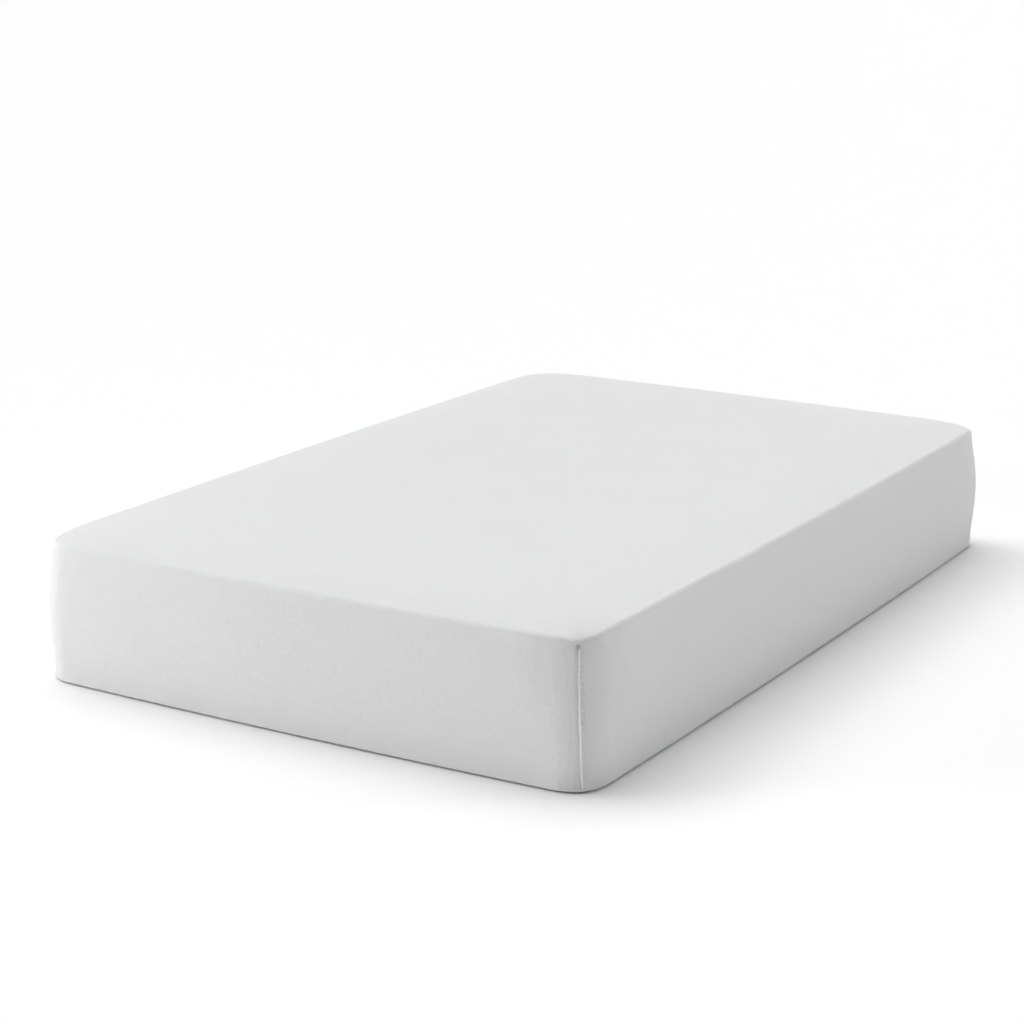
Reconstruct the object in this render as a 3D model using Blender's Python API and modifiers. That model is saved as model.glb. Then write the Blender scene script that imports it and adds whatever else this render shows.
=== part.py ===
"""A memory foam mattress in a removable knitted cover, as separate solids.

Metres, +Z up. The origin is the middle of the underside, X runs across the width and Y along the length.
The top and sides of the cover are one panel. Its base is a second panel, joined to it by a rolled seam on
the -Y and +X sides, and by a zip on the -X and +Y sides. Inside are three foam layers in a knitted sleeve.
"""

import math

import bmesh
import bpy
from mathutils import Vector

# The whole mattress, over its fullest lines
WIDTH = 1.20
LENGTH = 1.90
HEIGHT = 0.28

# The shape of its skin
CORNER_RADIUS = 0.080      # in plan
SIDE_BOW = 0.0075          # a side is this much fuller at mid-length than at its corners
SIDE_BARREL = 0.0115       # and this much fuller at mid-height than at its top
TOP_EDGE_RADIUS = 0.045
BASE_EDGE_RADIUS = 0.008
HEM_TOP = 0.040            # below this the sides stand upright, and the zip keeps its two sides straight
FULL_BOW_HEIGHT = 0.120    # from this height up, the zip's sides bow as much as the others

# The layers, from the outside in
GAP = 0.0003               # between pieces that touch
COVER_THICKNESS = 0.002
SLIDER_ROOM = 0.0025       # between the cover's side and the sleeve, for the zip's slider
SLEEVE_THICKNESS = 0.0012
MEMORY_FOAM_THICKNESS = 0.060
TRANSITION_FOAM_THICKNESS = 0.050
SLEEVE_DEPTH = COVER_THICKNESS + SLIDER_ROOM
SLEEVE_INSET = COVER_THICKNESS + GAP                       # at the top and the base, where it touches
FOAM_DEPTH = SLEEVE_DEPTH + SLEEVE_THICKNESS + GAP
FOAM_INSET = SLEEVE_INSET + SLEEVE_THICKNESS + GAP
SLEEVE_MOUTH_Y = LENGTH / 2 - 0.060

# Seams
BASE_SEAM_HEIGHT = 0.0035
WELT_RADIUS = 0.0017
CORNER_SEAM_RADIUS = 0.0012
CORNER_SEAM_TOP_ANGLE = 50     # degrees round the top edge

# The zip: a slot in the skin, with its chain along the middle
ZIP_HEIGHT = 0.024
ZIP_START_Y = -0.800
ZIP_END_X = 0.450
SLOT_HALF_HEIGHT = 0.005
TAPE_WIDTH = 0.0125
TAPE_THICKNESS = 0.0006
TAPE_DEPTH = COVER_THICKNESS + GAP + TAPE_THICKNESS / 2
TAPE_OVERRUN = 0.010
CHAIN_HALF_GAP = 0.0006        # the slider's neck runs between the two coils
COIL_WIDTH = 0.0026
COIL_THICKNESS = 0.0021
COIL_DEPTH = COVER_THICKNESS - COIL_THICKNESS / 2
STOP_MARGIN = 0.0025           # from the slot's end to the stop
STOP_LENGTH = 0.003
STOP_THICKNESS = 0.0024
STOP_DEPTH = COVER_THICKNESS - STOP_THICKNESS / 2
STOP_OUTER_EDGE = 0.0034       # from the middle of the chain

# The slider, at the closed end of the zip
SLIDER_LENGTH = 0.012
SLIDER_Y = ZIP_START_Y + STOP_MARGIN + STOP_LENGTH + GAP + SLIDER_LENGTH / 2
SLIDER_HALF_WIDTH = 0.0044
FRONT_WING_DEPTH = (-0.0017, -0.0005)
FLANGE_DEPTH = (-0.0010, 0.0019)
FLANGE_THICKNESS = 0.0007
BACK_WING_DEPTH = (0.0032, 0.0040)
NECK_DEPTH = (-0.0010, 0.0036)
NECK_LENGTH = 0.004
NECK_THICKNESS = 0.0006
CROWN_LENGTH = 0.008
CROWN_WIDTH = 0.0024
CROWN_THICKNESS = 0.0008
CROWN_DEPTH = (-0.0045, -0.0020)   # the middle of its bridge, and the ends of its feet
PIVOT_DEPTH = -0.0028
PULLER_LENGTH = 0.027
PULLER_THICKNESS = 0.0012
PULLER_EYE_HALF_WIDTH = 0.0030
PULLER_GRIP_HALF_WIDTH = 0.0040
PULLER_HOLE = (0.0052, 0.0016)     # its length and its half width

# The label, sewn along its top edge to the +Y side
LABEL_X = -0.400
LABEL_TOP = 0.125
LABEL_WIDTH = 0.055
LABEL_HEIGHT = 0.075
LABEL_THICKNESS = 0.0006
LABEL_STAND_OFF = 0.0005

# Facets
CORNER_STEPS = 6
SIDE_STEPS = 6
TOP_EDGE_STEPS = 5
BASE_EDGE_STEPS = 3
GRIP_STEPS = 8
BARREL_HEIGHTS = (HEM_TOP, 0.070, 0.105, HEIGHT / 2, 0.175, 0.205)

# Colours (red, green, blue), roughness and metallic value
LOOKS = {
    "knit_cover": ((0.86, 0.86, 0.86), 0.85, 0.0),
    "base_fabric": ((0.62, 0.63, 0.65), 0.90, 0.0),
    "seam_thread": ((0.88, 0.88, 0.88), 0.70, 0.0),
    "zip_tape": ((0.82, 0.82, 0.81), 0.80, 0.0),
    "zip_coil": ((0.84, 0.84, 0.83), 0.40, 0.0),
    "zip_metal": ((0.66, 0.66, 0.67), 0.30, 1.0),
    "label_satin": ((0.90, 0.90, 0.89), 0.45, 0.0),
    "sleeve_knit": ((0.88, 0.87, 0.84), 0.90, 0.0),
    "memory_foam": ((0.86, 0.85, 0.78), 0.95, 0.0),
    "transition_foam": ((0.70, 0.79, 0.85), 0.95, 0.0),
    "support_foam": ((0.80, 0.81, 0.80), 0.95, 0.0),
}

# Half the width and length at the ends of the sides, where the corners begin to turn
CORNER_HALF_WIDTH = WIDTH / 2 - SIDE_BOW
CORNER_HALF_LENGTH = LENGTH / 2 - SIDE_BOW
ARC_CENTRE_X = CORNER_HALF_WIDTH - CORNER_RADIUS
ARC_CENTRE_Y = CORNER_HALF_LENGTH - CORNER_RADIUS

# Anticlockwise: each corner's x and y signs, and whether the side that follows it carries the zip
CORNERS = ((1, 1, True), (-1, 1, True), (-1, -1, False), (1, -1, False))


def clear_scene():
    """Removes whatever the scene holds."""
    for item in list(bpy.data.objects):
        bpy.data.objects.remove(item, do_unlink=True)


def new_collection(name):
    """A collection in the scene."""
    collection = bpy.data.collections.new(name)
    bpy.context.scene.collection.children.link(collection)
    return collection


def material(name):
    """The named material, made once."""
    if name in bpy.data.materials:
        return bpy.data.materials[name]
    colour, roughness, metallic = LOOKS[name]
    made = bpy.data.materials.new(name)
    made.use_nodes = True
    shader = made.node_tree.nodes["Principled BSDF"]
    shader.inputs["Base Color"].default_value = (*colour, 1.0)
    shader.inputs["Roughness"].default_value = roughness
    shader.inputs["Metallic"].default_value = metallic
    return made


def add_object(name, data, look, collection):
    """An object of that mesh or curve, with its material."""
    made = bpy.data.objects.new(name, data)
    data.materials.append(material(look))
    collection.objects.link(made)
    return made


def add_form(name, form, look, collection):
    """An object of a bmesh, smooth where it is round."""
    mesh = bpy.data.meshes.new(name)
    form.to_mesh(mesh)
    form.free()
    mesh.shade_smooth()
    mesh.set_sharp_from_angle(angle=math.radians(35))
    return add_object(name, mesh, look, collection)


def solidify(item, thickness, offset):
    """Gives an open surface its thickness: offset -1 is inward, and 0 is half on each side."""
    shell = item.modifiers.new("thickness", "SOLIDIFY")
    shell.thickness = thickness
    shell.offset = offset
    shell.use_even_offset = True


def barrel_inset(z):
    """How far the side is set in at a height, because it is fullest at mid-height."""
    from_middle = 2 * max(z, HEM_TOP) / HEIGHT - 1
    return SIDE_BARREL * from_middle ** 2


def side_bow(z, carries_zip):
    """How far a side's middle stands out from its ends at a height."""
    if not carries_zip:
        return SIDE_BOW
    rise = (z - HEM_TOP) / (FULL_BOW_HEIGHT - HEM_TOP)
    rise = min(max(rise, 0), 1)
    return SIDE_BOW * rise * rise * (3 - 2 * rise)


def outline(depth, z):
    """The plan outline at a height and a depth below the skin, anticlockwise round the four corners."""
    radius = CORNER_RADIUS - barrel_inset(z) - depth
    points = []
    for number, (x_sign, y_sign, carries_zip) in enumerate(CORNERS):
        centre = Vector((x_sign * ARC_CENTRE_X, y_sign * ARC_CENTRE_Y, z))
        for step in range(CORNER_STEPS + 1):
            angle = math.radians(90 * (number + step / CORNER_STEPS))
            outward = Vector((math.cos(angle), math.sin(angle), 0))
            points.append(centre + radius * outward)
        # The arc ends facing outward from the side that follows it
        next_x, next_y, _ = CORNERS[(number + 1) % len(CORNERS)]
        start = points[-1]
        end = Vector((next_x * ARC_CENTRE_X, next_y * ARC_CENTRE_Y, z)) + radius * outward
        for step in range(1, SIDE_STEPS):
            along = step / SIDE_STEPS
            fullness = 1 - (2 * along - 1) ** 2
            points.append(start.lerp(end, along) + outward * side_bow(z, carries_zip) * fullness)
    return points


def side_profile(bottom, top, bottom_radius, top_radius):
    """(height, extra depth) up a side, with a quarter round at its bottom and at its top edge."""
    levels = []
    for step in range(BASE_EDGE_STEPS if bottom_radius else 0):
        angle = math.radians(90 * step / BASE_EDGE_STEPS)
        levels.append((bottom + bottom_radius * (1 - math.cos(angle)), bottom_radius * (1 - math.sin(angle))))
    levels.append((bottom + bottom_radius, 0))
    for z in BARREL_HEIGHTS:
        if bottom + bottom_radius < z < top - top_radius:
            levels.append((z, 0))
    levels.append((top - top_radius, 0))
    for step in range(TOP_EDGE_STEPS if top_radius else 0):
        angle = math.radians(90 * (step + 1) / TOP_EDGE_STEPS)
        levels.append((top - top_radius * (1 - math.sin(angle)), top_radius * (1 - math.cos(angle))))
    return levels


def mattress_form(depth, bottom, top, bottom_radius=0, top_radius=0):
    """A closed form that follows the mattress's sides, lofted through its outlines, which differ in height."""
    form = bmesh.new()
    rings = []
    for z, extra_depth in side_profile(bottom, top, bottom_radius, top_radius):
        rings.append([form.verts.new(point) for point in outline(depth + extra_depth, z)])
    for lower, upper in zip(rings, rings[1:]):
        for this in range(len(lower)):
            after = (this + 1) % len(lower)
            form.faces.new((lower[this], lower[after], upper[after], upper[this]))
    form.faces.new(reversed(rings[0]))
    form.faces.new(rings[-1])
    return form


def cut_and_keep(form, cuts, keep):
    """Cuts a form along planes, each an axis and a place on it, and keeps the faces whose middle passes."""
    for axis, place in cuts:
        normal = Vector((0, 0, 0))
        normal[axis] = 1
        geometry = form.verts[:] + form.edges[:] + form.faces[:]
        bmesh.ops.bisect_plane(form, geom=geometry, dist=1e-7, plane_co=normal * place, plane_no=normal)
    dropped = [face for face in form.faces if not keep(face.calc_center_median())]
    bmesh.ops.delete(form, geom=dropped, context="FACES")
    return form


def cover_skin():
    """The cover's outer skin, whole."""
    return mattress_form(0, 0, HEIGHT, BASE_EDGE_RADIUS, TOP_EDGE_RADIUS)


def make_cover_upper(collection):
    """Top and sides in one, down to the base seam, or to the upper edge of the zip's slot where that runs."""
    seam_z = BASE_SEAM_HEIGHT + GAP / 2
    slot_z = ZIP_HEIGHT + SLOT_HALF_HEIGHT
    run_start_y = ZIP_START_Y - GAP / 2
    run_end_x = ZIP_END_X + GAP / 2

    def above_the_seams(point):
        over_zip = point.x < run_end_x and point.y > run_start_y
        return point.z > (slot_z if over_zip else seam_z)

    cuts = ((2, seam_z), (2, slot_z), (1, run_start_y), (0, run_end_x))
    form = cut_and_keep(cover_skin(), cuts, above_the_seams)
    cover = add_form("cover_upper", form, "knit_cover", collection)
    solidify(cover, COVER_THICKNESS, -1)


def make_base_panel(collection):
    """The underside, turned up to the lower edge of the zip's slot on the zip's two sides."""
    seam_z = BASE_SEAM_HEIGHT - GAP / 2
    slot_z = ZIP_HEIGHT - SLOT_HALF_HEIGHT
    run_start_y = ZIP_START_Y + GAP / 2
    run_end_x = ZIP_END_X - GAP / 2

    def below_the_seams(point):
        over_zip = point.x < run_end_x and point.y > run_start_y
        return point.z < (slot_z if over_zip else seam_z)

    cuts = ((2, seam_z), (2, slot_z), (1, run_start_y), (0, run_end_x))
    form = cut_and_keep(cover_skin(), cuts, below_the_seams)
    panel = add_form("cover_base_panel", form, "base_fabric", collection)
    solidify(panel, COVER_THICKNESS, -1)


def make_fire_sleeve(collection):
    """The knitted sleeve round the foam, open at its +Y mouth, and the shallow end sewn over that mouth."""
    ends = (
        ("fire_sock", SLEEVE_MOUTH_Y - GAP / 2, -1),
        ("fire_sock_end_panel", SLEEVE_MOUTH_Y + GAP / 2, 1),
    )
    for name, mouth_y, direction in ends:
        form = mattress_form(
            SLEEVE_DEPTH,
            SLEEVE_INSET,
            HEIGHT - SLEEVE_INSET,
            BASE_EDGE_RADIUS - SLEEVE_INSET,
            TOP_EDGE_RADIUS - SLEEVE_INSET,
        )
        cut_and_keep(form, ((1, mouth_y),), lambda point: (point.y - mouth_y) * direction > 0)
        solidify(add_form(name, form, "sleeve_knit", collection), SLEEVE_THICKNESS, -1)


def make_foam_layers(collection):
    """The three foam slabs, one on another, cut square except at the outer edges, which the cover rounds."""
    top = HEIGHT - FOAM_INSET
    memory_bottom = top - MEMORY_FOAM_THICKNESS
    transition_top = memory_bottom - GAP
    transition_bottom = transition_top - TRANSITION_FOAM_THICKNESS
    support_top = transition_bottom - GAP
    layers = (
        ("memory_foam_layer", "memory_foam", memory_bottom, top, 0, TOP_EDGE_RADIUS - FOAM_INSET),
        ("transition_foam_layer", "transition_foam", transition_bottom, transition_top, 0, 0),
        ("support_foam_core", "support_foam", FOAM_INSET, support_top, BASE_EDGE_RADIUS - FOAM_INSET, 0),
    )
    for name, look, *shape in layers:
        add_form(name, mattress_form(FOAM_DEPTH, *shape), look, collection)


def add_tube(name, points, radius, look, collection):
    """A round cord along the points, with closed ends."""
    curve = bpy.data.curves.new(name, "CURVE")
    curve.dimensions = "3D"
    curve.bevel_depth = radius
    curve.bevel_resolution = 1
    curve.use_fill_caps = True
    spline = curve.splines.new("POLY")
    spline.points.add(len(points) - 1)
    for spline_point, place in zip(spline.points, points):
        spline_point.co = (*place, 1)
    return add_object(name, curve, look, collection)


def make_corner_seams(collection):
    """The sewn ridge up each corner of the cover, from the base seam to a little way round the top edge."""
    names = ("back_right", "back_left", "front_left", "front_right")
    stand_off = GAP + CORNER_SEAM_RADIUS
    for name, (x_sign, y_sign, _) in zip(names, CORNERS):
        outward = Vector((x_sign, y_sign, 0)).normalized()
        centre = Vector((x_sign * ARC_CENTRE_X, y_sign * ARC_CENTRE_Y, 0))
        heights = [BASE_EDGE_RADIUS + CORNER_SEAM_RADIUS]
        heights += [z for z in BARREL_HEIGHTS if z < HEIGHT - TOP_EDGE_RADIUS]
        heights += [HEIGHT - TOP_EDGE_RADIUS]
        points = []
        for z in heights:
            reach = CORNER_RADIUS - barrel_inset(z) + stand_off
            points.append(centre + outward * reach + Vector((0, 0, z)))
        for step in (1, 2, 3):
            angle = math.radians(CORNER_SEAM_TOP_ANGLE * step / 3)
            z = HEIGHT - TOP_EDGE_RADIUS * (1 - math.sin(angle))
            reach = CORNER_RADIUS - barrel_inset(z) - TOP_EDGE_RADIUS * (1 - math.cos(angle))
            lift = Vector((0, 0, math.sin(angle))) + outward * math.cos(angle)
            points.append(centre + outward * reach + Vector((0, 0, z)) + lift * stand_off)
        add_tube("corner_seam_" + name, points, CORNER_SEAM_RADIUS, "seam_thread", collection)


def make_base_welt(collection):
    """The rolled seam round the foot of the sides, from one end of the zip to the other."""
    sine = (BASE_EDGE_RADIUS - BASE_SEAM_HEIGHT) / BASE_EDGE_RADIUS
    cosine = math.sqrt(1 - sine ** 2)
    stand_off = GAP + WELT_RADIUS
    depth = BASE_EDGE_RADIUS * (1 - cosine) - stand_off * cosine
    z = BASE_SEAM_HEIGHT - stand_off * sine
    ring = outline(depth, z)
    corner = CORNER_STEPS + SIDE_STEPS
    # The outline's points from the start of the (-X, -Y) corner to the end of the (+X, +Y) one
    run = ring[2 * corner:] + ring[:CORNER_STEPS + 1]
    first = Vector((run[0].x, ZIP_START_Y, z))
    last = Vector((ZIP_END_X, run[-1].y, z))
    add_tube("base_seam_welt", [first] + run + [last], WELT_RADIUS, "knit_cover", collection)


def chain_path(depth, overrun):
    """The zip's line in plan at a depth below the skin, along the -X side and the +Y side."""
    corner = [(point.x, point.y) for point in outline(depth, ZIP_HEIGHT)]
    first = CORNER_STEPS + SIDE_STEPS
    # The (-X, +Y) corner's points run anticlockwise, so the path along the zip takes them backwards
    arc = corner[first:first + CORNER_STEPS + 1][::-1]
    return [(arc[0][0], ZIP_START_Y - overrun)] + arc + [(ZIP_END_X + overrun, arc[-1][1])]


def add_ribbon(name, path, middle_z, width, thickness, look, collection):
    """A flat band that stands on edge along a plan line."""
    curve = bpy.data.curves.new(name, "CURVE")
    curve.dimensions = "2D"
    curve.fill_mode = "NONE"
    curve.extrude = width / 2
    spline = curve.splines.new("POLY")
    spline.points.add(len(path) - 1)
    for spline_point, (x, y) in zip(spline.points, path):
        spline_point.co = (x, y, 0, 1)
    band = add_object(name, curve, look, collection)
    band.location.z = middle_z
    solidify(band, thickness, 0)
    return band


def make_zip_chain(collection):
    """The two tapes and the two coils, which part along the middle of the slot."""
    coil_overrun = -(STOP_MARGIN + STOP_LENGTH + GAP)
    for name, direction in (("upper", 1), ("lower", -1)):
        tape_z = ZIP_HEIGHT + direction * (CHAIN_HALF_GAP + TAPE_WIDTH / 2)
        coil_z = ZIP_HEIGHT + direction * (CHAIN_HALF_GAP + COIL_WIDTH / 2)
        tape_path = chain_path(TAPE_DEPTH, TAPE_OVERRUN)
        coil_path = chain_path(COIL_DEPTH, coil_overrun)
        add_ribbon("zip_tape_" + name, tape_path, tape_z, TAPE_WIDTH, TAPE_THICKNESS, "zip_tape", collection)
        add_ribbon("zip_coil_" + name, coil_path, coil_z, COIL_WIDTH, COIL_THICKNESS, "zip_coil", collection)


def left_x(depth):
    """The x of a place on the -X side at the zip's height, by its depth below the skin."""
    return -(CORNER_HALF_WIDTH - barrel_inset(ZIP_HEIGHT) - depth)


def add_box(name, low, high, look, collection):
    """A box between two corners, given in any order."""
    form = bmesh.new()
    bmesh.ops.create_cube(form, size=1)
    low, high = Vector(low), Vector(high)
    size = high - low
    bmesh.ops.scale(form, vec=[abs(length) for length in size], verts=form.verts)
    bmesh.ops.translate(form, vec=(low + high) / 2, verts=form.verts)
    return add_form(name, form, look, collection)


def make_zip_stops(collection):
    """A stop on each tape at the zip's start, and one across both coils at its far end."""
    start_y = ZIP_START_Y + STOP_MARGIN
    outer_x, inner_x = (left_x(STOP_DEPTH + sign * STOP_THICKNESS / 2) for sign in (-1, 1))
    for name, direction in (("upper", 1), ("lower", -1)):
        low = (outer_x, start_y, ZIP_HEIGHT + direction * CHAIN_HALF_GAP)
        high = (inner_x, start_y + STOP_LENGTH, ZIP_HEIGHT + direction * STOP_OUTER_EDGE)
        add_box("zip_top_stop_" + name, low, high, "zip_metal", collection)
    end_x = ZIP_END_X - STOP_MARGIN
    skin_y = CORNER_HALF_LENGTH - barrel_inset(ZIP_HEIGHT)
    outer_y, inner_y = (skin_y - STOP_DEPTH - sign * STOP_THICKNESS / 2 for sign in (-1, 1))
    low = (end_x - STOP_LENGTH, inner_y, ZIP_HEIGHT - STOP_OUTER_EDGE)
    high = (end_x, outer_y, ZIP_HEIGHT + STOP_OUTER_EDGE)
    add_box("zip_bottom_stop", low, high, "zip_metal", collection)


def make_slider_body(collection, cutters):
    """Front wing with a flange along each edge, and a back wing, joined by the neck at the leading end."""
    front_y, back_y = SLIDER_Y - SLIDER_LENGTH / 2, SLIDER_Y + SLIDER_LENGTH / 2
    flange_inner = SLIDER_HALF_WIDTH - FLANGE_THICKNESS
    # Each block's depths below the skin, its far end along the chain, and its heights from the chain's middle
    blocks = {
        "front_wing": (FRONT_WING_DEPTH, back_y, (-SLIDER_HALF_WIDTH, SLIDER_HALF_WIDTH)),
        "upper_flange": (FLANGE_DEPTH, back_y, (flange_inner, SLIDER_HALF_WIDTH)),
        "lower_flange": (FLANGE_DEPTH, back_y, (-SLIDER_HALF_WIDTH, -flange_inner)),
        "neck": (NECK_DEPTH, front_y + NECK_LENGTH, (-NECK_THICKNESS / 2, NECK_THICKNESS / 2)),
        "back_wing": (BACK_WING_DEPTH, back_y, (-SLIDER_HALF_WIDTH, SLIDER_HALF_WIDTH)),
    }
    made = {}
    for name, (depths, far_y, heights) in blocks.items():
        is_body = name == "front_wing"
        low = (left_x(depths[0]), front_y, ZIP_HEIGHT + heights[0])
        high = (left_x(depths[1]), far_y, ZIP_HEIGHT + heights[1])
        node = "zip_slider_body" if is_body else "slider_" + name
        made[name] = add_box(node, low, high, "zip_metal", collection if is_body else cutters)
    body = made.pop("front_wing")
    for name, block in made.items():
        block.hide_render = True
        block.display_type = "WIRE"
        union = body.modifiers.new(name, "BOOLEAN")
        union.operation = "UNION"
        union.object = block


def make_slider_crown(collection):
    """The bridge over the front wing, which the puller's eye hangs on."""
    bridge, feet = CROWN_DEPTH
    end = (CROWN_LENGTH - CROWN_THICKNESS) / 2
    shoulder = 0.5 * (bridge + feet)
    half = [(feet, end), (shoulder, end), (bridge, 0.6 * end)]
    path = [(left_x(depth), SLIDER_Y - along) for depth, along in half]
    path += [(left_x(depth), SLIDER_Y + along) for depth, along in reversed(half)]
    add_ribbon("zip_slider_crown", path, ZIP_HEIGHT, CROWN_WIDTH, CROWN_THICKNESS, "zip_metal", collection)


def make_puller(collection):
    """A flat tab that widens to a round grip, with an eye whose end bar passes under the crown."""
    bar = PULLER_THICKNESS / 2
    grip_x = PULLER_LENGTH - bar - PULLER_GRIP_HALF_WIDTH
    hole_length, hole_half_width = PULLER_HOLE
    outer = [(-bar, -PULLER_EYE_HALF_WIDTH), (bar + hole_length, -PULLER_EYE_HALF_WIDTH)]
    for step in range(GRIP_STEPS + 1):
        angle = math.radians(180 * step / GRIP_STEPS - 90)
        reach = PULLER_GRIP_HALF_WIDTH
        outer.append((grip_x + reach * math.cos(angle), reach * math.sin(angle)))
    outer += [(bar + hole_length, PULLER_EYE_HALF_WIDTH), (-bar, PULLER_EYE_HALF_WIDTH)]
    hole = [
        (bar, -hole_half_width),
        (bar, hole_half_width),
        (bar + hole_length, hole_half_width),
        (bar + hole_length, -hole_half_width),
    ]
    curve = bpy.data.curves.new("zip_puller", "CURVE")
    curve.dimensions = "2D"
    curve.fill_mode = "BOTH"
    curve.extrude = PULLER_THICKNESS / 2
    for loop in (outer, hole):
        spline = curve.splines.new("POLY")
        spline.use_cyclic_u = True
        spline.points.add(len(loop) - 1)
        for spline_point, (x, y) in zip(spline.points, loop):
            spline_point.co = (x, y, 0, 1)
    puller = add_object("zip_puller", curve, "zip_metal", collection)
    # Its length runs along +Y, its width along +Z, and its origin is on the hinge axis
    puller.rotation_euler = (math.radians(90), 0, math.radians(90))
    puller.location = (left_x(PIVOT_DEPTH), SLIDER_Y, ZIP_HEIGHT)


def make_care_label(collection):
    """A blank satin label that hangs from its sewn top edge, clear of the side's curve."""
    nearest_x = abs(LABEL_X) - LABEL_WIDTH / 2
    fullness = 1 - (nearest_x / ARC_CENTRE_X) ** 2
    side_y = CORNER_HALF_LENGTH - barrel_inset(LABEL_TOP) + side_bow(LABEL_TOP, True) * fullness
    low = (-LABEL_WIDTH / 2, 0, -LABEL_HEIGHT)
    high = (LABEL_WIDTH / 2, LABEL_THICKNESS, 0)
    label = add_box("care_label", low, high, "label_satin", collection)
    label.location = (LABEL_X, side_y + LABEL_STAND_OFF, LABEL_TOP)


def main():
    clear_scene()
    mattress = new_collection("memory_foam_mattress")
    cutters = new_collection("cutters")
    make_cover_upper(mattress)
    make_base_panel(mattress)
    make_corner_seams(mattress)
    make_base_welt(mattress)
    make_fire_sleeve(mattress)
    make_foam_layers(mattress)
    make_zip_chain(mattress)
    make_zip_stops(mattress)
    make_slider_body(mattress, cutters)
    make_slider_crown(mattress)
    make_puller(mattress)
    make_care_label(mattress)


main()
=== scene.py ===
"""The looks of a memory foam mattress: a white knitted cover, sewn at its corners and zipped at its base.

Metres, +Z up, in the CAD model's frame. The skin is one function of a place round the plan, a height and
a depth, so that the cover, its seams, the zip, the sleeve and the foams all nest in each other.
"""

import math

import bmesh
import bpy
import numpy as np
from mathutils import Matrix, Vector, noise
from mathutils.kdtree import KDTree


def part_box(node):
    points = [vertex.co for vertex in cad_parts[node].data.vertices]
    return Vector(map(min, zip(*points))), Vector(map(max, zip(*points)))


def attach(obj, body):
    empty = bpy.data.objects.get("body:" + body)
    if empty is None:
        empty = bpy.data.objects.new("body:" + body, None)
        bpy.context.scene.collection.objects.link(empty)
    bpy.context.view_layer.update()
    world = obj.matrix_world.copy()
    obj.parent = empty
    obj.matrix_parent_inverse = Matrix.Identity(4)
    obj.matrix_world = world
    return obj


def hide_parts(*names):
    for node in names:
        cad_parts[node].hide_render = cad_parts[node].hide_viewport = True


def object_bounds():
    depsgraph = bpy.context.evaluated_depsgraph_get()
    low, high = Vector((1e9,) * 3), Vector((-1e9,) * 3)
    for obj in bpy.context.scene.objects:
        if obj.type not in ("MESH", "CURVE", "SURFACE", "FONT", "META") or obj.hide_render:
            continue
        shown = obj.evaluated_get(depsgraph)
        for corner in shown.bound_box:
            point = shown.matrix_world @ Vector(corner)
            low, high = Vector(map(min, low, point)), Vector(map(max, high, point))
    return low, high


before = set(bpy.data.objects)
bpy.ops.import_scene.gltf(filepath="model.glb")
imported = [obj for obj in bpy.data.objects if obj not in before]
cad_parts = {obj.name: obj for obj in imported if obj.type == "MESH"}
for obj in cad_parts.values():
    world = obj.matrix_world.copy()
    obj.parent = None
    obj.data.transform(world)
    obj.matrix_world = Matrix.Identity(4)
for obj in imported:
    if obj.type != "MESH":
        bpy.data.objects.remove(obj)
CAD_LOW, CAD_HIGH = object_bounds()

# ---- Driving dimensions
# Taken from the frame's boxes
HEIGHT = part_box("cover_upper")[1].z
SLEEVE_MOUTH_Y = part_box("fire_sock")[1].y
ZIP_HEIGHT = (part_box("zip_coil_upper")[1].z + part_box("zip_coil_lower")[0].z) / 2
STOP_MARGIN = 0.0025  # from a stop to the end of the slot
ZIP_START_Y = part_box("zip_top_stop_upper")[0].y - STOP_MARGIN
ZIP_END_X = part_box("zip_bottom_stop")[1].x + STOP_MARGIN

# The same as in the CAD model
CORNER_RADIUS = 0.080
SIDE_BOW = 0.0075  # a side is this much fuller at mid-length than at its corners
SIDE_BARREL = 0.0115  # and this much fuller at mid-height than at its top
BASE_EDGE_RADIUS = 0.008
HEM_TOP = 0.040  # below this the sides stand upright
FULL_BOW_HEIGHT = 0.120  # from this height up, the zip's sides bow as much as the others
COVER_THICKNESS = 0.002
SLEEVE_DEPTH = 0.0045  # from the cover's skin to the sleeve's
SLEEVE_THICKNESS = 0.0012
FOAM_DEPTH = 0.006
GAP = 0.0003  # between pieces that touch
SLOT_HALF_HEIGHT = 0.005

# Finer than the CAD model, or different from it
SHOULDER = 0.72  # the barrel ends in an upright shoulder from this share of the half height
BASE_SEAM_HEIGHT = 0.0048  # the CAD's is lower, and the dark line under it wouldn't show
TOP_DROP = 0.0035  # the top is this much lower at its edge than in its middle,
CROWN_REACH = 0.220  # and all of that is in the last stretch before the edge
CROWN_SLOPE = math.atan(2 * TOP_DROP / CROWN_REACH)
TOP_EDGE_RADIUS = 0.0105  # the round between the top and the side: the CAD's is 0.045
COVER_BASE_RADIUS = 0.0045
BASE_PANEL_THICKNESS = 0.0014
SLEEVE_BASE_EDGE = 0.0057
SLEEVE_TOP_EDGE = 0.0115
WELT_RADIUS = 0.0015
UNDERCUT = 0.016  # the base panel comes down to the floor this far in from the side
BASE_FABRIC_LIFT = 0.0006  # the anti-slip dots stand this far below the base fabric
SLOT_CLOSING_LENGTH = 0.012  # the zip's slot narrows to nothing over this length
SLOT_DESCENT_LENGTH = 0.045  # and its seam runs down to the base seam over this one
DOT_PITCH = 0.030
DOT_RADIUS = 0.0024
DOT_SIDES = 6
DOT_MARGIN = 0.012
DOT_FIELD_ROUND = 0.06  # the dots' field has corners as round as this
TOOTH_PITCH = 0.0024
TOOTH_DEPTH = 0.00095
STITCH_RISE = 0.0078  # from the zip's middle to the stitching at each edge of its slot
STITCH_PITCH = 0.0032
LABEL_CURL = 0.0028
LABEL_THICKNESS = 0.0005
LABEL_STITCH_PITCH = 0.0030
LABEL_NIP = 0.0014  # the label's stitches draw the knit in by this much

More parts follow.
